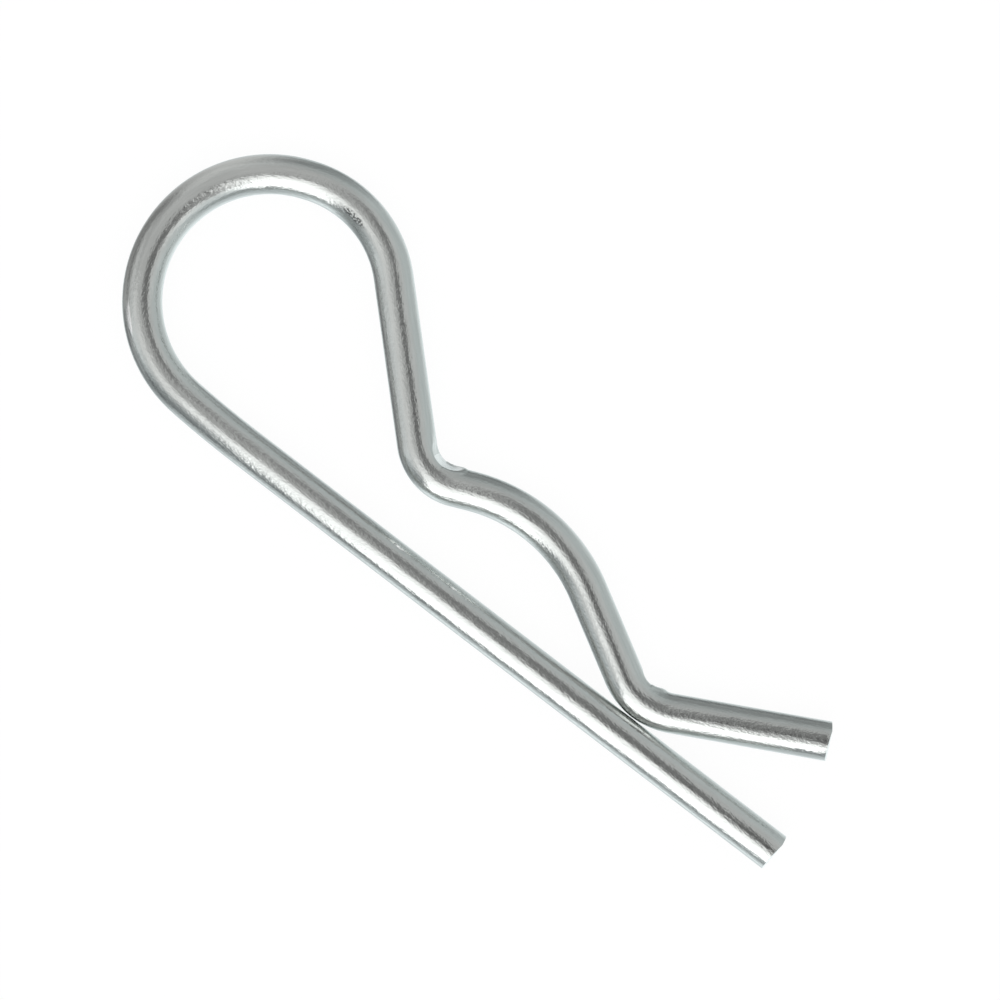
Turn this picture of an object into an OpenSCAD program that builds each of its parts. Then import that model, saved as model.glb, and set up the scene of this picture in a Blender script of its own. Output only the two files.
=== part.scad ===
// Spring retaining clip, bent from one length of round spring wire.
// The straight leg goes through the cross hole of a shaft, and the wavy leg springs over the shaft
// and holds it under the hump. The head is the round end that the hand pulls.
//
// The origin is on the straight leg's axis, where the axis of the held shaft crosses it.
// +X runs along the straight leg to its cut end, +Y points to the wavy leg, and the wire lies flat in XY.

/* [Wire] */
// Diameter of the spring wire
wire_d = 4; // [3:0.1:5]
// How far a bend draws the wire's surface in, compared with the straight wire
bend_draw = 0.01; // [0.005:0.005:0.03]

/* [Straight leg] */
// Straight leg, from the axis of the held shaft to the tip of the cut end
leg_reach = 39.1; // [34:0.1:50]

/* [Head] */
// Inside radius of the round head
head_in_r = 10.7; // [9:0.05:14]
// Gentle lead-in bend between the straight leg and the head, radius at the wire's axis
lead_r = 110; // [60:1:200]
// Angle that the lead-in turns through
lead_sweep = 3.8; // [1:0.1:6]
// Angle that the head turns through, up to its shoulder
head_sweep = 155; // [130:1:185]
// Inside radius of the shoulder, the tighter bend between the head and the neck
shoulder_in_r = 9.8; // [7:0.05:12]
// Flat that the forming tool leaves where one radius of the head hands over to the next
head_flat = 0.4; // [0.2:0.1:1]

/* [Neck and valley] */
// Straight neck between the shoulder and the valley
neck_run = 16.8; // [12:0.1:22]
// Inside radius of the valley, the bend at the foot of the neck
valley_in_r = 3; // [2.6:0.1:4]
// Gap between the valley and the straight leg
neck_gap = 5.1; // [4.6:0.1:6.5]
// Short straight between the valley and the hump
saddle_run = 1.8; // [0.5:0.1:4]

/* [Hump] */
// Largest shaft that the clip holds
shaft_d = 19; // [17:0.5:22]
// Play between that shaft and the top of the hump
seat_play = 0.1; // [0:0.05:0.5]
// Inside radius of the hump
hump_in_r = 15.1; // [13:0.1:17]

/* [Nose and flare] */
// Straight ramp from the hump down to the nose
ramp_run = 9.1; // [6:0.1:12]
// Inside radius of the nose, the bend that closes the clip against the straight leg
nose_in_r = 4.4; // [3:0.1:6]
// Gap between the nose and the straight leg while the clip is off its shaft
nose_gap = 0.05; // [0.03:0.01:1]
// Angle between the flare and the straight leg
flare_angle = 27.4; // [18:0.1:35]
// Flare, from the end of the nose bend to the tip of the cut end
flare_len = 16; // [10:0.1:20]

/* [Cut ends] */
// Height of the shear's ridge above the wire's axis, in the plane of the clip
ridge_offset = 0.8; // [0:0.1:1.2]
// Slant of the two faces that fall back from the ridge
ridge_slant = 6; // [2:0.5:12]
// How far back from the end the shear blade rolled the upper edge over
roll_back = 0.5; // [0.2:0.05:0.8]
// How far down the rolled edge reaches, from the top of the wire
roll_depth = 0.35; // [0.1:0.05:0.6]

/* [Former marks] */
// Radius of the hardened former that the valley and the nose are bent round
former_r = 2.2; // [1.8:0.1:2.5]
// Depth that the former sank into the inside of those two bends
mark_depth = 0.25; // [0.05:0.05:0.4]
// Where the mark lies round the valley, from 0 at the bend's start to 1 at its end
valley_mark_at = 0.5; // [0.4:0.05:0.6]
// Where the mark lies round the nose, from 0 at the bend's start to 1 at its end
nose_mark_at = 0.35; // [0.3:0.05:0.7]
// Taper of the valley's former, which bit deeper into the upper side of the wire
valley_taper = 18; // [0:1:25]

/* [Hidden] */
$fn = 96;
zinc_grey = "#b8bfc0";

// Radii at the wire's axis
wire_r = wire_d / 2;
head_r = head_in_r + wire_r;
shoulder_r = shoulder_in_r + wire_r;
valley_r = valley_in_r + wire_r;
hump_r = hump_in_r + wire_r;
nose_r = nose_in_r + wire_r;

// A bend reaches this far into the straights beside it, inside their skin
bend_lap = 0.05;
// Size of the blocks that trim the cut ends
trim = 3 * wire_d;

// Unit vectors along a heading, and square to it on the left
function along(heading) = [cos(heading), sin(heading)];
function left_of(heading) = [-sin(heading), cos(heading)];

// A bend has a centre and a turn: its radius, positive where the wire turns left.
function point_on(centre, turn, heading) = centre - turn * left_of(heading);
// Centre of the next bend, after a straight of the given length
function next_centre(centre, turn, heading, run, next_turn) =
    point_on(centre, turn, heading) + run * along(heading) + next_turn * left_of(heading);
// Distance in X between two bends that turn opposite ways, with a straight between them
function spread(radius_a, radius_b, run, rise) =
    sqrt(pow(radius_a + radius_b, 2) + pow(run, 2) - pow(rise, 2));
// Heading of the straight that is tangent to two bends
function heading_between(centre_a, turn_a, centre_b, turn_b) =
    atan2(centre_b.y - centre_a.y, centre_b.x - centre_a.x)
    - asin((turn_b - turn_a) / norm(centre_b - centre_a));

// Heights above the straight leg: the hump from the shaft, the valley and the nose from their gaps
hump_y = shaft_d / 2 + seat_play - hump_in_r;
valley_y = wire_d + neck_gap + valley_r;
nose_y = wire_d + nose_gap + nose_r;
hump = [0, hump_y];
valley = [-spread(hump_r, valley_r, saddle_run, valley_y - hump_y), valley_y];
nose = [spread(hump_r, nose_r, ramp_run, nose_y - hump_y), nose_y];

// The wire leaves the straight leg's end backwards, turns right round the head and comes down the neck.
leg_heading = 180;
lead_heading = leg_heading - lead_sweep;
head_heading = lead_heading - head_sweep;
// Steps between the centres of the head's three bends
lead_step = next_centre([0, 0], -lead_r, lead_heading, head_flat, -head_r);
head_step = next_centre([0, 0], -head_r, head_heading, head_flat, -shoulder_r);
shoulder_y = lead_r + lead_step.y + head_step.y;
shoulder = [valley.x - spread(shoulder_r, valley_r, neck_run, shoulder_y - valley_y), shoulder_y];
head = shoulder - head_step;
lead = head - lead_step;

neck_heading = heading_between(shoulder, -shoulder_r, valley, valley_r);
saddle_heading = heading_between(valley, valley_r, hump, -hump_r);
ramp_heading = heading_between(hump, -hump_r, nose, nose_r);

module straight(start, heading, run) {
    translate([start.x, start.y, 0])
        rotate([0, 90, heading])
            cylinder(h = run, r = wire_r);
}

module bend(centre, turn, heading_in, heading_out) {
    radius = abs(turn);
    lap = atan(bend_lap / radius);
    first = min(heading_in, heading_out) - 90 * sign(turn) - lap;
    translate([centre.x, centre.y, 0])
        rotate([0, 0, first])
            rotate_extrude(angle = abs(heading_out - heading_in) + 2 * lap)
                translate([radius, 0])
                    circle(r = wire_r - bend_draw);
}

// What the shear took off an end: beyond its ridge, and over the rolled edge on top
module sheared_off(tip, heading) {
    fall = tan(ridge_slant) * trim;
    translate([tip.x, tip.y, 0])
        rotate([0, 0, heading]) {
            translate([0, 0, -trim / 2])
                linear_extrude(trim)
                    polygon([
                        [0, ridge_offset],
                        [-fall, ridge_offset - trim],
                        [trim, ridge_offset - trim],
                        [trim, ridge_offset + trim],
                        [-fall, ridge_offset + trim]
                    ]);
            translate([0, 0, wire_r - roll_depth])
                rotate([0, atan2(roll_depth, roll_back), 0])
                    translate([-trim / 2, -trim / 2, 0])
                        cube(trim);
        }
}

// A straight that ends in a shear cut
module sheared_straight(start, heading, run) {
    difference() {
        straight(start, heading, run);
        sheared_off(start + run * along(heading), heading);
    }
}

// The dent of the former inside a bend, seated at the given share of the way round it
module former_mark(centre, turn, heading_in, heading_out, inside_r, at, taper) {
    heading = heading_in + at * (heading_out - heading_in);
    seat = centre - sign(turn) * (inside_r + mark_depth - former_r) * left_of(heading);
    widening = wire_d / 2 * tan(taper);
    translate([seat.x, seat.y, 0])
        cylinder(h = wire_d, r1 = former_r - widening, r2 = former_r + widening, center = true);
}

module bent_wire() {
    sheared_straight([lead.x, 0], 0, leg_reach - lead.x);
    bend(lead, -lead_r, leg_heading, lead_heading);
    straight(point_on(lead, -lead_r, lead_heading), lead_heading, head_flat);
    bend(head, -head_r, lead_heading, head_heading);
    straight(point_on(head, -head_r, head_heading), head_heading, head_flat);
    bend(shoulder, -shoulder_r, head_heading, neck_heading);
    straight(point_on(shoulder, -shoulder_r, neck_heading), neck_heading, neck_run);
    bend(valley, valley_r, neck_heading, saddle_heading);
    straight(point_on(valley, valley_r, saddle_heading), saddle_heading, saddle_run);
    bend(hump, -hump_r, saddle_heading, ramp_heading);
    straight(point_on(hump, -hump_r, ramp_heading), ramp_heading, ramp_run);
    bend(nose, nose_r, ramp_heading, flare_angle);
    sheared_straight(point_on(nose, nose_r, flare_angle), flare_angle, flare_len);
}

module r_clip() {
    color(zinc_grey)
        difference() {
            bent_wire();
            former_mark(
                valley, valley_r, neck_heading, saddle_heading,
                valley_in_r, valley_mark_at, valley_taper
            );
            former_mark(
                nose, nose_r, ramp_heading, flare_angle,
                nose_in_r, nose_mark_at, 0
            );
        }
}

r_clip();
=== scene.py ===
"""A hitch pin clip: one length of round spring wire, bent cold and then bright zinc plated."""

import math

import bmesh
import bpy
from mathutils import Matrix, Vector


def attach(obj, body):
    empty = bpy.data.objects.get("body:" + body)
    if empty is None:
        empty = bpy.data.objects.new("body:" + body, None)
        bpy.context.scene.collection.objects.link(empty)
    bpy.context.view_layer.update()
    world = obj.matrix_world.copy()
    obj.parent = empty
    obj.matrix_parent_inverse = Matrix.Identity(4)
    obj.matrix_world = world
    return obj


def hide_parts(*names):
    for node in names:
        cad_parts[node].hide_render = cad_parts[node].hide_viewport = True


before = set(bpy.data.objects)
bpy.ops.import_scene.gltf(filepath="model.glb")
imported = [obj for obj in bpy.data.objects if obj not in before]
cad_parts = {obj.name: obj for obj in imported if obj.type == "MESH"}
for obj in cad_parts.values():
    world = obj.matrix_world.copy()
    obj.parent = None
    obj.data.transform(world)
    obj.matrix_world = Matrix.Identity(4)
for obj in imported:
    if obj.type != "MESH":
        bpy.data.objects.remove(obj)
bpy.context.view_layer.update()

# ---------------------------------------------------------------------------
# The clip
# One length of hard-drawn spring steel wire, 4 mm thick. It was fed through a bender and wound
# round its formers from the end of the straight leg to that of the flare, sheared off, and
# then bright zinc plated.
# ---------------------------------------------------------------------------
MM = 0.001
WIRE_R = 2.0 * MM
SIDES = 96  # facets round the wire
LEG_TIP = Vector((39.1 * MM, 0.0, 0.0))
LEG_HEADING = math.pi  # the wire starts at the straight leg's tip and runs towards -X

# The bender's table. A feed is a straight length in millimetres, and a bend is a radius at the
# wire's axis in millimetres with an angle in degrees, to the left where the angle is positive.
# The last number is how many rings of the mesh the row is made of.
BENDER_TABLE = {
    "straight_leg": ("feed", 66.426, 40),
    "lead_in": ("bend", 110.0, -3.8, 4),
    "head_flat": ("feed", 0.4, 1),
    "head": ("bend", 12.7, -155.0, 62),
    "shoulder_flat": ("feed", 0.4, 1),
    "shoulder": ("bend", 11.8, -65.776, 26),
    "neck": ("feed", 16.8, 16),
    "valley": ("bend", 5.0, 67.797, 68),
    "saddle": ("feed", 1.8, 16),
    "hump": ("bend", 17.1, -52.787, 30),
    "ramp": ("feed", 9.1, 10),
    "nose": ("bend", 6.4, 56.966, 64),
    "flare": ("feed", 16.0, 16),
}


def along(heading):
    """The way that a heading points."""
    return Vector((math.cos(heading), math.sin(heading), 0.0))


def left_of(heading):
    """The way to the left of a heading."""
    return Vector((-math.sin(heading), math.cos(heading), 0.0))


def start_ring(mesh, tip, heading):
    """The wire's first ring. Each point also keeps its place on the wire as it was before bending."""
    unbent = mesh.verts.layers.float_vector.new("unbent")
    ring = bmesh.ops.create_circle(mesh, cap_ends=False, radius=WIRE_R, segments=SIDES)["verts"]
    for point in ring:
        across, up = point.co.x, point.co.y
        point[unbent] = Vector((0.0, across, up))
        point.co = tip + left_of(heading) * across + Vector((0.0, 0.0, up))
    return ring


def ring_edges(ring):
    """The edges that run round a ring, and not along the wire."""
    inside = set(ring)
    touching = dict.fromkeys(edge for point in ring for edge in point.link_edges)
    return [edge for edge in touching if set(edge.verts) <= inside]


def draw_wire(mesh, ring, place, heading):
    """Feeds and bends the end ring row by row. Returns the bends, and the last ring, its place and heading."""
    unbent = mesh.verts.layers.float_vector["unbent"]
    fed = 0.0
    bends = {}
    for name, (action, *sizes, rings) in BENDER_TABLE.items():
        if action == "feed":
            length = sizes[0] * MM
        else:
            radius, turn = sizes[0] * MM, math.radians(sizes[1])
            length = radius * abs(turn)
            centre = place + left_of(heading) * math.copysign(radius, turn)
            bends[name] = {
                "centre": centre, "radius": radius, "heading": heading, "last_heading": heading + turn,
                "fed": fed, "last_fed": fed + length,
            }
        for _ in range(rings):
            if action == "feed":
                grown = bmesh.ops.extrude_edge_only(mesh, edges=ring_edges(ring))["geom"]
            else:
                grown = bmesh.ops.spin(
                    mesh, geom=ring + ring_edges(ring), cent=centre, axis=(0.0, 0.0, 1.0),
                    angle=turn / rings, steps=1, use_merge=False, use_duplicate=False,
                )["geom_last"]
            ring = [part for part in grown if isinstance(part, bmesh.types.BMVert)]
            if action == "feed":
                bmesh.ops.translate(mesh, verts=ring, vec=along(heading) * length / rings)
            fed += length / rings
            for point in ring:
                point[unbent].x = fed
        if action == "feed":
            place = place + along(heading) * length
        else:
            heading += turn
            place = centre - left_of(heading) * math.copysign(radius, turn)
    return bends, ring, place, heading


# The wire's three material slots
PLATED, SHEARED, PAINTED_REFLECTION = range(3)

wire = bmesh.new()
leg_ring = start_ring(wire, LEG_TIP, LEG_HEADING)
bends, flare_ring, flare_tip, flare_heading = draw_wire(wire, leg_ring, LEG_TIP, LEG_HEADING)

# The valley and the nose were bent round thin hardened pins, which sank into the inside of the
# wire and pushed up a small lip where the wire left them. The valley's pin is tapered.
FORMER_R = 2.2 * MM
MARK_DEPTH = 0.25 * MM
LIP_HEIGHT = 0.16 * MM
LIP_WIDTH = 0.16 * MM
LIP_REACH = 6 * LIP_WIDTH  # where nothing is left of the lip
LIP_FROM = 0.2  # the lip starts where the wire leaves the pin: 0 is square to the wire, and 1 along it
# Share of the way round the bend, and taper of the pin in degrees
VALLEY_MARK = (0.5, 18.0)
NOSE_MARK = (0.35, 0.0)
# Share of the way round the valley from which its pin mark is painted white: a painted reflection of the lit
# paper beside it
PAINTED_REFLECTION_FROM = 0.30


def press_former(mesh, bend, share, taper):
    """Pushes what lies inside the former out to its surface, and raises the lip on its far side."""
    heading = bend["heading"] + share * (bend["last_heading"] - bend["heading"])
    outward = -left_of(heading)
    seat = bend["centre"] + outward * (bend["radius"] - WIRE_R + MARK_DEPTH - FORMER_R)
    pressed = set()
    for point in mesh.verts:
        away = Vector((point.co.x - seat.x, point.co.y - seat.y, 0.0))
        if away.dot(outward) <= 0.0 or away.length > FORMER_R + LIP_REACH:
            continue
        beyond = away.length - (FORMER_R + point.co.z * math.tan(math.radians(taper)))
        if beyond < 0.0:
            point.co -= away.normalized() * beyond
            pressed.add(point)
        leaving = away.normalized().dot(along(heading))
        if beyond > -LIP_WIDTH and leaving > LIP_FROM:
            swell = math.exp(-(((beyond - LIP_WIDTH / 2) / LIP_WIDTH) ** 2)) * math.sqrt(leaving)
            point.co -= outward * LIP_HEIGHT * swell
    return [face for face in mesh.faces if set(face.verts) <= pressed]


unbent = wire.verts.layers.float_vector["unbent"]
valley_start, valley_end = bends["valley"]["fed"], bends["valley"]["last_fed"]
painted_reflection_from = valley_start + PAINTED_REFLECTION_FROM * (valley_end - valley_start)
# Painted reflection: the later part of the valley's pin mark gets the white material
for face in press_former(wire, bends["valley"], *VALLEY_MARK):
    if min(point[unbent].x for point in face.verts) > painted_reflection_from:
        face.material_index = PAINTED_REFLECTION
press_former(wire, bends["nose"], *NOSE_MARK)

# Both ends were sheared: the blade left two faces that fall back from a ridge, and rolled
# the rim over. One of the faces also leans back towards its top.
RIDGE_OFFSET = 0.8 * MM
RIDGE_TOP = 1.2 * MM  # where the leaning face meets the ridge, above the wire's axis
RIDGE_SLANT = math.radians(6.0)
SHEAR_LEAN = math.radians(8.0)
SHEAR_REACH = 4 * WIRE_R  # the blade touches nothing further back than this
ROLL = 0.16 * MM
ROLL_STEPS = 4
SKIN_CORNERS = 8  # no face of the drawn skin has more corners than this, and every shear face has
ON_BLADE = 1e-7  # metres: what lies this close to a cut is on it
SAME_PLACE = 1e-6  # metres: points this close are one


def shear_end(mesh, tip, heading, ring):
    """Caps an end and cuts it back on both sides of its ridge. Heading points out of the wire."""
    bmesh.ops.contextual_create(mesh, geom=ring_edges(ring))
    left = Vector((-heading.y, heading.x, 0.0))
    ridge = tip + left * RIDGE_OFFSET + Vector((0.0, 0.0, RIDGE_TOP))
    for side, lean in ((1, 0.0), (-1, SHEAR_LEAN)):
        slant = heading * math.cos(RIDGE_SLANT) + left * side * math.sin(RIDGE_SLANT)
        slant.z = math.tan(lean)
        near = [point for point in mesh.verts if (point.co - tip).length < SHEAR_REACH]
        edges = dict.fromkeys(edge for point in near for edge in point.link_edges)
        faces = dict.fromkeys(face for point in near for face in point.link_faces)
        cut = bmesh.ops.bisect_plane(
            mesh, geom=near + list(edges) + list(faces), dist=ON_BLADE,
            plane_co=ridge, plane_no=slant.normalized(), clear_outer=True,
        )["geom_cut"]
        cut_edges = [part for part in cut if isinstance(part, bmesh.types.BMEdge)]
        bmesh.ops.contextual_create(mesh, geom=cut_edges)


shear_end(wire, LEG_TIP, -along(LEG_HEADING), leg_ring)
shear_end(wire, flare_tip, along(flare_heading), flare_ring)
bmesh.ops.remove_doubles(wire, verts=wire.verts, dist=SAME_PLACE)
bmesh.ops.recalc_face_normals(wire, faces=wire.faces)
shear_faces = [face for face in wire.faces if len(face.verts) > SKIN_CORNERS]
for face in shear_faces:
    face.material_index = SHEARED
rim = [
    edge for face in shear_faces for edge in face.edges
    if any(neighbour.material_index == PLATED for neighbour in edge.link_faces)
]
rolled = bmesh.ops.bevel(
    wire, geom=rim, offset=ROLL, segments=ROLL_STEPS, profile=0.5, affect="EDGES", material=-1,
    clamp_overlap=True,
)["faces"]
for face in rolled:
    face.material_index = PLATED
wire_mesh = bpy.data.meshes.new("r_clip_wire")
wire.to_mesh(wire_mesh)
wire.free()
for face in wire_mesh.polygons:
    face.use_smooth = face.material_index != SHEARED
clip = bpy.data.objects.new("r_clip_wire", wire_mesh)
bpy.context.collection.objects.link(clip)
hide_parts("r_clip")
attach(clip, "root")

# Bright zinc plating over drawn wire: a clear grey metal. The acid bath leaves a fine grain that breaks up
# the edges of what it mirrors, the drawing die leaves long faint lines, and the skin is slightly wavy.
ZINC_LIGHT = "#DCDFDD"
ZINC_DULL = "#C6C9C7"
ZINC_SCUFFED = "#6A6C6B"
# Painted highlight: pure white, which stands in for light caught by the burrs, the cut faces and the valley's
# pin mark
ZINC_PAINTED_HIGHLIGHT = "#FFFFFF"
# The marks' sizes, in millimetres along, across and up on the wire before it was bent. The plating's
# real grain is some hundredths of a millimetre and wouldn't show, so it is drawn coarser here, as the
# draw lines are.
GRAIN = (0.45, 0.20, 0.20)
FINE_LINES = (1.2, 0.25, 0.25)
DRAW_LINES = (4.0, 0.35, 0.35)
RIPPLE = (3.2, 1.6, 1.6)  # the skin's slow waves
STREAKS = (3.0, 0.35, 0.35)  # duller streaks along the wire
STREAK_LAYERS = 3.0
SPECKS = (0.22, 0.17, 0.17)  # of the scuff
SPECK_LAYERS = 1.0
SPECK_EDGE = (0.46, 0.58)  # the noise's level where a speck starts and where it is full
SCUFF_HEIGHT = 0.03  # mm
BURR_HEIGHT = 0.06  # mm, of the raised burrs that carry the painted glints
# Where the head's former scuffed the wire, and small raised burrs, each painted white as a glint (a painted
# highlight): each a centre and a reach
SCUFF = ((114.9, -0.88, 1.79), (1.9, 0.42, 0.6))
BURRS_WITH_PAINTED_GLINTS = (
    ((83.4, 1.36, 1.47), (1.9, 0.30, 0.6)),
    ((48.1, -1.42, 1.41), (0.8, 0.10, 0.4)),
    ((41.4, -1.45, 1.38), (0.5, 0.10, 0.4)),
)
FULL_WITHIN = 0.55  # share of its reach over which such a mark is full
NOISE_TURN = (0.6, 0.4, 0.9)  # radians: turns the noise's own grid off the wire's axes, where it would show
LAYER_SHARE = 0.6  # strength of each finer layer of the noise, beside the one before it


def linear(hex_colour):
    """An sRGB hex value as the linear colour that a shader takes."""
    parts = [int(hex_colour[i : i + 2], 16) / 255 for i in (1, 3, 5)]
    return [p / 12.92 if p <= 0.04045 else ((p + 0.055) / 1.055) ** 2.4 for p in parts] + [1.0]


def add_node(tree, kind, settings=None, inputs=None):
    """Adds a node, sets its properties, and sets its inputs or links them to a socket or a node."""
    node = tree.nodes.new(kind)
    for name, value in (settings or {}).items():
        setattr(node, name, value)
    for name, value in (inputs or {}).items():
        if isinstance(value, bpy.types.Node):
            value = value.outputs[0]
        if isinstance(value, bpy.types.NodeSocket):
            tree.links.new(value, node.inputs[name])
        else:
            node.inputs[name].default_value = value
    return node


def noise(tree, place, sizes, layers):
    """Noise whose lumps measure these millimetres along, across and up, with finer layers over them."""
    scaled = add_node(
        tree, "ShaderNodeMapping", None,
        {"Vector": place, "Scale": [1 / (size * MM) for size in sizes], "Rotation": NOISE_TURN},
    )
    return add_node(
        tree, "ShaderNodeTexNoise", None,
        {"Vector": scaled, "Scale": 1.0, "Detail": layers, "Roughness": LAYER_SHARE},
    ).outputs["Fac"]


def spot(tree, place, centre, reach):
    """1 in the middle of an oval on the wire, fading to 0 at its reach."""
    away = add_node(
        tree, "ShaderNodeVectorMath", {"operation": "SUBTRACT"}, {0: place, 1: [c * MM for c in centre]}
    )
    share = add_node(
        tree, "ShaderNodeVectorMath", {"operation": "MULTIPLY"}, {0: away, 1: [1 / (r * MM) for r in reach]}
    )
    length = add_node(tree, "ShaderNodeVectorMath", {"operation": "LENGTH"}, {0: share}).outputs["Value"]
    return add_node(
        tree, "ShaderNodeMapRange", {"interpolation_type": "SMOOTHSTEP"},
        {"Value": length, "From Min": 1.0, "From Max": FULL_WITHIN},
    ).outputs[0]


def zinc_surface(name, light, dull, roughness, lumps):
    """Zinc with its scuff, and raised burrs with a painted highlight on each. Each lump is its sizes, its
    finer layers and a height in mm.
    """
    material = bpy.data.materials.new(name)
    material.use_nodes = True
    tree = material.node_tree
    tree.nodes.clear()
    place = add_node(tree, "ShaderNodeAttribute", {"attribute_name": "unbent"}).outputs["Vector"]
    scuff = spot(tree, place, *SCUFF)
    specks = noise(tree, place, SPECKS, SPECK_LAYERS)
    rough = add_node(tree, "ShaderNodeMath", {"operation": "MULTIPLY"}, {0: scuff, 1: specks})
    height = add_node(tree, "ShaderNodeMath", {"operation": "MULTIPLY"}, {0: rough, 1: SCUFF_HEIGHT})
    raised = [(spot(tree, place, *line), BURR_HEIGHT) for line in BURRS_WITH_PAINTED_GLINTS]
    raised += [(noise(tree, place, sizes, layers), lump_height) for sizes, layers, lump_height in lumps]
    for shape, shape_height in raised:
        height = add_node(
            tree, "ShaderNodeMath", {"operation": "MULTIPLY_ADD"}, {0: shape, 1: shape_height, 2: height}
        )
    bump = add_node(tree, "ShaderNodeBump", None, {"Height": height, "Distance": MM, "Strength": 1.0})
    speck_dark = add_node(
        tree, "ShaderNodeMapRange", {"interpolation_type": "SMOOTHSTEP"},
        {"Value": specks, "From Min": SPECK_EDGE[0], "From Max": SPECK_EDGE[1]},
    )
    scuff_dark = add_node(tree, "ShaderNodeMath", {"operation": "MULTIPLY"}, {0: scuff, 1: speck_dark})
    colour = linear(light)
    coats = [(noise(tree, place, STREAKS, STREAK_LAYERS), dull), (scuff_dark, ZINC_SCUFFED)]
    # Painted highlight: each burr is painted white, as a glint
    coats += [(spot(tree, place, *line), ZINC_PAINTED_HIGHLIGHT) for line in BURRS_WITH_PAINTED_GLINTS]
    for share, coat in coats:
        colour = add_node(
            tree, "ShaderNodeMix", {"data_type": "RGBA"}, {0: share, 6: colour, 7: linear(coat)}
        ).outputs[2]
    shader = add_node(
        tree, "ShaderNodeBsdfPrincipled", None,
        {"Base Color": colour, "Metallic": 1.0, "Roughness": roughness, "Normal": bump},
    )
    add_node(tree, "ShaderNodeOutputMaterial", None, {"Surface": shader})
    return material


# The drawn skin: nearly a mirror, so that it shows the studio in long bands with frayed edges
wire_mesh.materials.append(
    zinc_surface(
        "bright_zinc_plated_wire", ZINC_LIGHT, ZINC_DULL, 0.10,
        ((GRAIN, 2.0, 0.026), (FINE_LINES, 0.0, 0.008), (DRAW_LINES, 0.0, 0.008), (RIPPLE, 0.0, 0.030)),
    )
)
# The faces that the blade tore: more matt, and painted near white, partly their own paler plating and partly a
# painted highlight where they catch the light
wire_mesh.materials.append(
    zinc_surface(
        "shear_face_with_painted_highlight", ZINC_PAINTED_HIGHLIGHT, ZINC_LIGHT, 0.30,
        ((GRAIN, 0.0, 0.02), (RIPPLE, 0.0, 0.03)),
    )
)
# Where the valley's pin slid along the wire: smoother, without draw lines, and painted white, a painted
# reflection of the lit paper beside it
wire_mesh.materials.append(
    zinc_surface("pin_mark_painted_reflection", ZINC_PAINTED_HIGHLIGHT, ZINC_LIGHT, 0.20, ((GRAIN, 0.0, 0.02), (RIPPLE, 0.0, 0.02)))
)

# ---------------------------------------------------------------------------
# The floor
# A plain white paper sheet, much larger than the clip, which lies on it. The camera sees the sheet
# white, with the clip's soft shadow. Bright metal and glass see the white studio through it.
# ---------------------------------------------------------------------------
FLOOR_SIZE = 3.0
PAPER = "#E6EAEA"
# To the camera the sheet is a grey that takes the shadow, under a glow that lifts it to white
SHADOW_GREY = "#555555"
PAPER_GLOW = 0.942
WHITE = "#FFFFFF"
sheet = bmesh.new()
bmesh.ops.create_grid(sheet, x_segments=1, y_segments=1, size=FLOOR_SIZE / 2)
bmesh.ops.translate(sheet, verts=sheet.verts, vec=(0.0, 0.0, -WIRE_R))
floor_mesh = bpy.data.meshes.new("floor")
sheet.to_mesh(floor_mesh)
sheet.free()
floor = bpy.data.objects.new("floor", floor_mesh)
bpy.context.collection.objects.link(floor)

paper = bpy.data.materials.new("white_paper")
paper.use_nodes = True
tree = paper.node_tree
tree.nodes.clear()
ray = add_node(tree, "ShaderNodeLightPath").outputs
seen = ray["Is Camera Ray"]
tone = add_node(
    tree, "ShaderNodeMix", {"data_type": "RGBA"}, {0: seen, 6: linear(PAPER), 7: linear(SHADOW_GREY)}
)
matt = add_node(tree, "ShaderNodeBsdfDiffuse", None, {"Color": tone.outputs[2]})
lift = add_node(tree, "ShaderNodeMath", {"operation": "MULTIPLY"}, {0: seen, 1: PAPER_GLOW})
glow = add_node(tree, "ShaderNodeEmission", None, {"Color": linear(WHITE), "Strength": lift})
sheet_look = add_node(tree, "ShaderNodeAddShader", None, {0: matt, 1: glow})
mirrored = add_node(
    tree, "ShaderNodeMath", {"operation": "MAXIMUM"},
    {0: ray["Is Glossy Ray"], 1: ray["Is Transmission Ray"]},
)
through = add_node(tree, "ShaderNodeBsdfTransparent")
look = add_node(tree, "ShaderNodeMixShader", None, {0: mirrored, 1: sheet_look, 2: through})
add_node(tree, "ShaderNodeOutputMaterial", None, {"Surface": look})
floor_mesh.materials.append(paper)

# ---------------------------------------------------------------------------
# The soft box, the camera's body and a card of painted shadow
# Three flat cards that hang close to the clip, with soft edges: a lit one at the front on the left, and
# two that dim what is behind them: the camera's body on the right, and low at the back a painted shadow
# that stands in for the clip's own shadow on the paper, as the metal mirrors it. Only bright metal and
# glass see them.
# ---------------------------------------------------------------------------
VIEW_TURN = math.radians(37.488)  # the picture's right-hand side, turned from the straight leg's +X
PICTURE_CENTRE = Vector((-4.0 * MM, 11.23 * MM, 0.0))
# The azimuth is anticlockwise from the picture's right, and like the angle from overhead and the roll it
# is in degrees. Each side has where the card starts and where it is full, in shares of how far away it is.
SOFT_BOX = {
    "azimuth": 226.8, "from_overhead": 48.6, "roll": 10.2,
    "left": (-0.149, 0.011), "right": (1.114, 0.836), "bottom": (-0.731, -0.581), "top": (0.966, -0.599),
}
SOFT_BOX_AWAY = 237 * MM
SOFT_BOX_LIGHT = 2.0
CAMERA_BODY = {
    "azimuth": 344.3, "from_overhead": 51.0, "roll": 8.2,
    "left": (-1.025, -0.632), "right": (1.526, 0.655), "bottom": (0.454, 0.545), "top": (1.530, 0.665),
}
CAMERA_BODY_AWAY = 194 * MM
CAMERA_BODY_LEAVES = 0.402  # share of the light behind it
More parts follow.
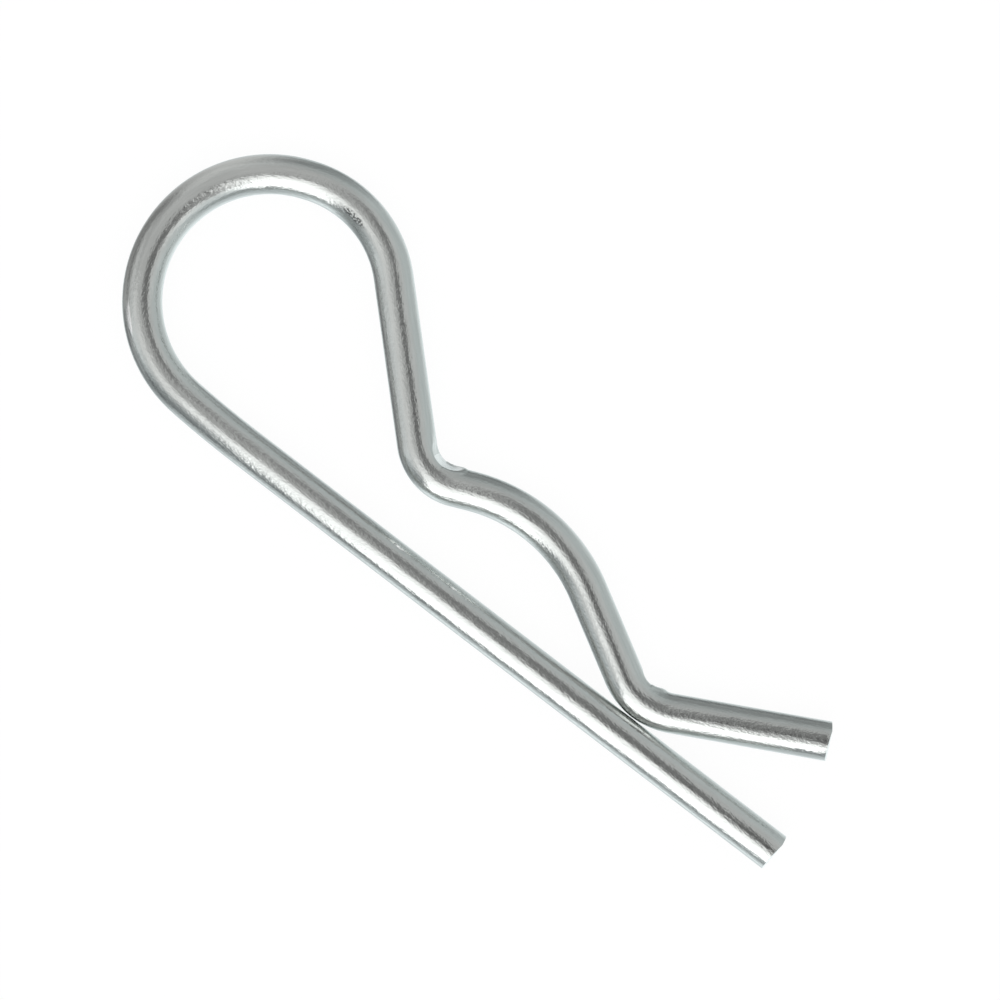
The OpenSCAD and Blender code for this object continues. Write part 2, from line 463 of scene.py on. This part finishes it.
# Painted shadow: this card stands in for the clip's own shadow on the paper beside it, as the metal mirrors it
PAINTED_SHADOW_CARD = {
    "azimuth": 69.0, "from_overhead": 126.0, "roll": 0.0,
    "left": (-0.30, -0.06), "right": (0.30, 0.06), "bottom": (-0.30, -0.06), "top": (0.30, 0.06),
}
PAINTED_SHADOW_CARD_AWAY = 185 * MM
PAINTED_SHADOW_CARD_LEAVES = 0.60


def studio_direction(azimuth, from_overhead):
    """A direction in the room from two angles in degrees."""
    turn, lean = math.radians(azimuth) + VIEW_TURN, math.radians(from_overhead)
    return Vector((math.sin(lean) * math.cos(turn), math.sin(lean) * math.sin(turn), math.cos(lean)))


def card_axes(card):
    """Which way a card's width, its height and its back point."""
    back = studio_direction(card["azimuth"], card["from_overhead"])
    level = Vector((0, 0, 1)).cross(back).normalized()
    roll = Matrix.Rotation(math.radians(card["roll"]), 3, back)
    return roll @ level, roll @ back.cross(level), back


def inside_card(tree, card, across, up):
    """1 inside a card, fading to 0 over its sides."""
    shape = 1.0
    for place, side in ((across, "left"), (across, "right"), (up, "bottom"), (up, "top")):
        start, full = card[side]
        edge = add_node(
            tree, "ShaderNodeMapRange", {"interpolation_type": "SMOOTHSTEP"},
            {"Value": place, "From Min": start, "From Max": full},
        )
        shape = add_node(tree, "ShaderNodeMath", {"operation": "MULTIPLY"}, {0: shape, 1: edge})
    return shape


def hang_card(name, card, away):
    """Hangs a card this far from the picture's centre, and returns its node tree and its shape in it."""
    across, up, back = card_axes(card)
    cut = bmesh.new()
    bmesh.ops.create_grid(cut, x_segments=1, y_segments=1, size=0.5)
    for corner in cut.verts:
        corner.co.x = card["left" if corner.co.x < 0 else "right"][0] * away
        corner.co.y = card["bottom" if corner.co.y < 0 else "top"][0] * away
    mesh = bpy.data.meshes.new(name)
    cut.to_mesh(mesh)
    cut.free()
    hung = bpy.data.objects.new(name, mesh)
    hung.matrix_world = Matrix((across, up, back)).transposed().to_4x4()
    hung.location = PICTURE_CENTRE + back * away
    hung.visible_camera = hung.visible_diffuse = hung.visible_volume_scatter = False
    bpy.context.collection.objects.link(hung)
    material = bpy.data.materials.new(name)
    material.use_nodes = True
    tree = material.node_tree
    tree.nodes.clear()
    mesh.materials.append(material)
    place = add_node(tree, "ShaderNodeTexCoord").outputs["Object"]
    u, v = (
        add_node(
            tree, "ShaderNodeVectorMath", {"operation": "DOT_PRODUCT"}, {0: place, 1: axis}
        ).outputs["Value"]
        for axis in ((1 / away, 0, 0), (0, 1 / away, 0))
    )
    return tree, inside_card(tree, card, u, v)


tree, shape = hang_card("soft_box", SOFT_BOX, SOFT_BOX_AWAY)
clear = add_node(tree, "ShaderNodeBsdfTransparent")
glow = add_node(tree, "ShaderNodeEmission", None, {"Strength": SOFT_BOX_LIGHT})
look = add_node(tree, "ShaderNodeMixShader", None, {0: shape, 1: clear, 2: glow})
add_node(tree, "ShaderNodeOutputMaterial", None, {"Surface": look})

for name, card, away, leaves in (
    ("camera_body", CAMERA_BODY, CAMERA_BODY_AWAY, CAMERA_BODY_LEAVES),
    ("painted_clip_shadow_card", PAINTED_SHADOW_CARD, PAINTED_SHADOW_CARD_AWAY, PAINTED_SHADOW_CARD_LEAVES),
):
    tree, shape = hang_card(name, card, away)
    smoke = add_node(
        tree, "ShaderNodeMix", {"data_type": "RGBA"},
        {0: shape, 6: linear(WHITE), 7: (leaves, leaves, leaves, 1.0)},
    )
    clear = add_node(tree, "ShaderNodeBsdfTransparent", None, {"Color": smoke.outputs[2]})
    add_node(tree, "ShaderNodeOutputMaterial", None, {"Surface": clear})

# ---------------------------------------------------------------------------
# The tent
# White cloth all round the clip, lit from outside, so that it is lighter and darker in places. It lights
# the clip softly, and is most of what the bright plating mirrors. To the camera it is plain white.
# ---------------------------------------------------------------------------
WALLS = 0.65  # strength of the plain cloth, where 1 is white
DARKEST = 0.02
# Lighter and darker patches: azimuth, angle from overhead, reach and core in degrees, and the light it adds
WALL_PATCHES = {
    "reflector_on_the_left": (193, 38, 17, 15, 0.18),
    "haze_above_the_soft_box": (254, 32, 35, 12, 0.82),
    "spill_beside_the_soft_box": (297, 48, 53, 13, 0.76),
    "shade_beside_the_soft_box": (284, 47, 56, 36, -0.46),
    "gap_under_the_soft_box": (216, 85, 21, 17, -0.32),
    "dark_room_on_the_left": (161, 106, 60, 0, -0.57),
    "dark_wall_on_the_left": (158, 69, 29, 24, -0.11),
    "bright_slot_on_the_left": (177, 90, 43, 28, 0.26),
    "dark_wall_at_the_back": (66, 88, 50, 0, -0.63),
    "pale_wall_at_the_back": (56, 81, 36, 5, 0.31),
    "lens_shade": (87, 11, 46, 35, -0.07),
    "bright_table_in_front": (324, 151, 58, 3, 0.51),
    "bright_table_by_the_box": (237, 129, 22, 1, 0.60),
    "bright_table_under_the_clip": (190, 169, 19, 5, 0.30),
    "dark_table_on_the_left": (206, 120, 24, 20, -0.24),
    # Painted shadow: the clip's own shadow on the paper at the back, as the metal mirrors it
    "painted_clip_shadow_at_the_back": (76, 126, 20, 5, -0.22),
    "pale_table_at_the_back": (84, 113, 60, 45, 0.10),
}
# The skirt, a darker strip round the foot, is the overlap of three patches. The first two are centred
# overhead, and so give its upper and lower edge.
SKIRT = ((0, 0, 90.0, 92.5), (0, 0, 102.0, 98.5), (218, 90, 92.4, 81.3))
SKIRT_LEAVES = 0.60
# The dark front of the camera, which looks down through the roof
DARK_OVERHEAD = {
    "azimuth": 304.0, "from_overhead": 11.9, "roll": 76.4,
    "left": (-1.606, -0.024), "right": (0.213, 0.192), "bottom": (-0.280, 0.176), "top": (0.084, -0.070),
}
DARK_OVERHEAD_LEAVES = 0.174
EDGE_ON = (0.02, 0.08)  # the card is left out where it would be seen as edge-on as this, or from behind
# The cloth is slightly blue low down, less so on the right, and slightly warm overhead and at the back
# on the left. Like the lamps' strengths, these are linear shares of red, green and blue.
COOL_AWAY_FROM = ((138, 95, 35, 75), (0, 0, 35, 85))
RIGHT_SIDE = (30, 80, 110, 50)
WARM_CLOTH = (1.0, 0.995, 0.99, 1.0)
COOL_CLOTH = (0.935, 1.0, 1.02, 1.0)
COOL_CLOTH_RIGHT = (0.935, 1.0, 1.005, 1.0)

world = bpy.data.worlds.new("studio")
bpy.context.scene.world = world
world.use_nodes = True
tree = world.node_tree
tree.nodes.clear()
ray = add_node(tree, "ShaderNodeTexCoord").outputs["Generated"]


def share_along(direction):
    """The cosine of the angle between a direction and where the tent is looked at."""
    return add_node(
        tree, "ShaderNodeVectorMath", {"operation": "DOT_PRODUCT"}, {0: ray, 1: direction}
    ).outputs["Value"]


def patch(azimuth, from_overhead, reach, core):
    """A round patch of the tent: 1 up to its core, 0 at its reach, which may also be the nearer one."""
    toward = share_along(studio_direction(azimuth, from_overhead))
    angle = add_node(tree, "ShaderNodeMath", {"operation": "ARCCOSINE"}, {0: toward})
    return add_node(
        tree, "ShaderNodeMapRange", {"interpolation_type": "SMOOTHSTEP"},
        {"Value": angle, "From Min": math.radians(reach), "From Max": math.radians(core)},
    )


def overlap(*shapes):
    """Where all of these are."""
    both = shapes[0]
    for shape in shapes[1:]:
        both = add_node(tree, "ShaderNodeMath", {"operation": "MULTIPLY"}, {0: both, 1: shape})
    return both


def dimmed(light, shape, leaves):
    """The light, of which only a share is left inside a shape."""
    kept = add_node(
        tree, "ShaderNodeMath", {"operation": "MULTIPLY_ADD"}, {0: shape, 1: leaves - 1.0, 2: 1.0}
    )
    return add_node(tree, "ShaderNodeMath", {"operation": "MULTIPLY"}, {0: light, 1: kept})


light = WALLS
for *where, amount in WALL_PATCHES.values():
    light = add_node(
        tree, "ShaderNodeMath", {"operation": "MULTIPLY_ADD"}, {0: patch(*where), 1: amount, 2: light}
    )
light = dimmed(light, overlap(*(patch(*where) for where in SKIRT)), SKIRT_LEAVES)

across, up, back = card_axes(DARK_OVERHEAD)
facing = add_node(tree, "ShaderNodeMath", {"operation": "MAXIMUM"}, {0: share_along(back), 1: EDGE_ON[0]})
u, v = (
    add_node(tree, "ShaderNodeMath", {"operation": "DIVIDE"}, {0: share_along(axis), 1: facing})
    for axis in (across, up)
)
in_front = add_node(
    tree, "ShaderNodeMapRange", {"interpolation_type": "SMOOTHSTEP"},
    {"Value": facing, "From Min": EDGE_ON[0], "From Max": EDGE_ON[1]},
)
light = dimmed(light, overlap(inside_card(tree, DARK_OVERHEAD, u, v), in_front), DARK_OVERHEAD_LEAVES)
light = add_node(tree, "ShaderNodeMath", {"operation": "MAXIMUM"}, {0: light, 1: DARKEST})

cool_cloth = add_node(
    tree, "ShaderNodeMix", {"data_type": "RGBA"},
    {0: patch(*RIGHT_SIDE), 6: COOL_CLOTH, 7: COOL_CLOTH_RIGHT},
)
tint = add_node(
    tree, "ShaderNodeMix", {"data_type": "RGBA"},
    {0: overlap(*(patch(*where) for where in COOL_AWAY_FROM)), 6: WARM_CLOTH, 7: cool_cloth.outputs[2]},
)
lit = add_node(tree, "ShaderNodeBackground", None, {"Color": tint.outputs[2], "Strength": light})
plain = add_node(tree, "ShaderNodeBackground", None, {"Color": linear(WHITE), "Strength": 1.0})
seen = add_node(tree, "ShaderNodeLightPath").outputs["Is Camera Ray"]
mixed = add_node(tree, "ShaderNodeMixShader", None, {0: seen, 1: lit, 2: plain})
add_node(tree, "ShaderNodeOutputWorld", None, {"Surface": mixed})
bpy.context.scene.view_settings.view_transform = "Standard"

# ---------------------------------------------------------------------------
# The camera
# A long lens straight above the middle of the clip, turned so that the straight leg runs from the upper
# left to the lower right.
# ---------------------------------------------------------------------------
PICTURE_WIDTH = 99.5 * MM
LENS, SENSOR = 200.0, 36.0  # mm
NEAREST, FURTHEST = 0.01, 10.0
lens = bpy.data.cameras.new("camera")
lens.lens, lens.sensor_width = LENS, SENSOR
lens.clip_start, lens.clip_end = NEAREST, FURTHEST
camera = bpy.data.objects.new("camera", lens)
camera.location = PICTURE_CENTRE + Vector((0.0, 0.0, PICTURE_WIDTH * LENS / SENSOR))
camera.rotation_euler = (0.0, 0.0, VIEW_TURN)
bpy.context.collection.objects.link(camera)
bpy.context.scene.camera = camera
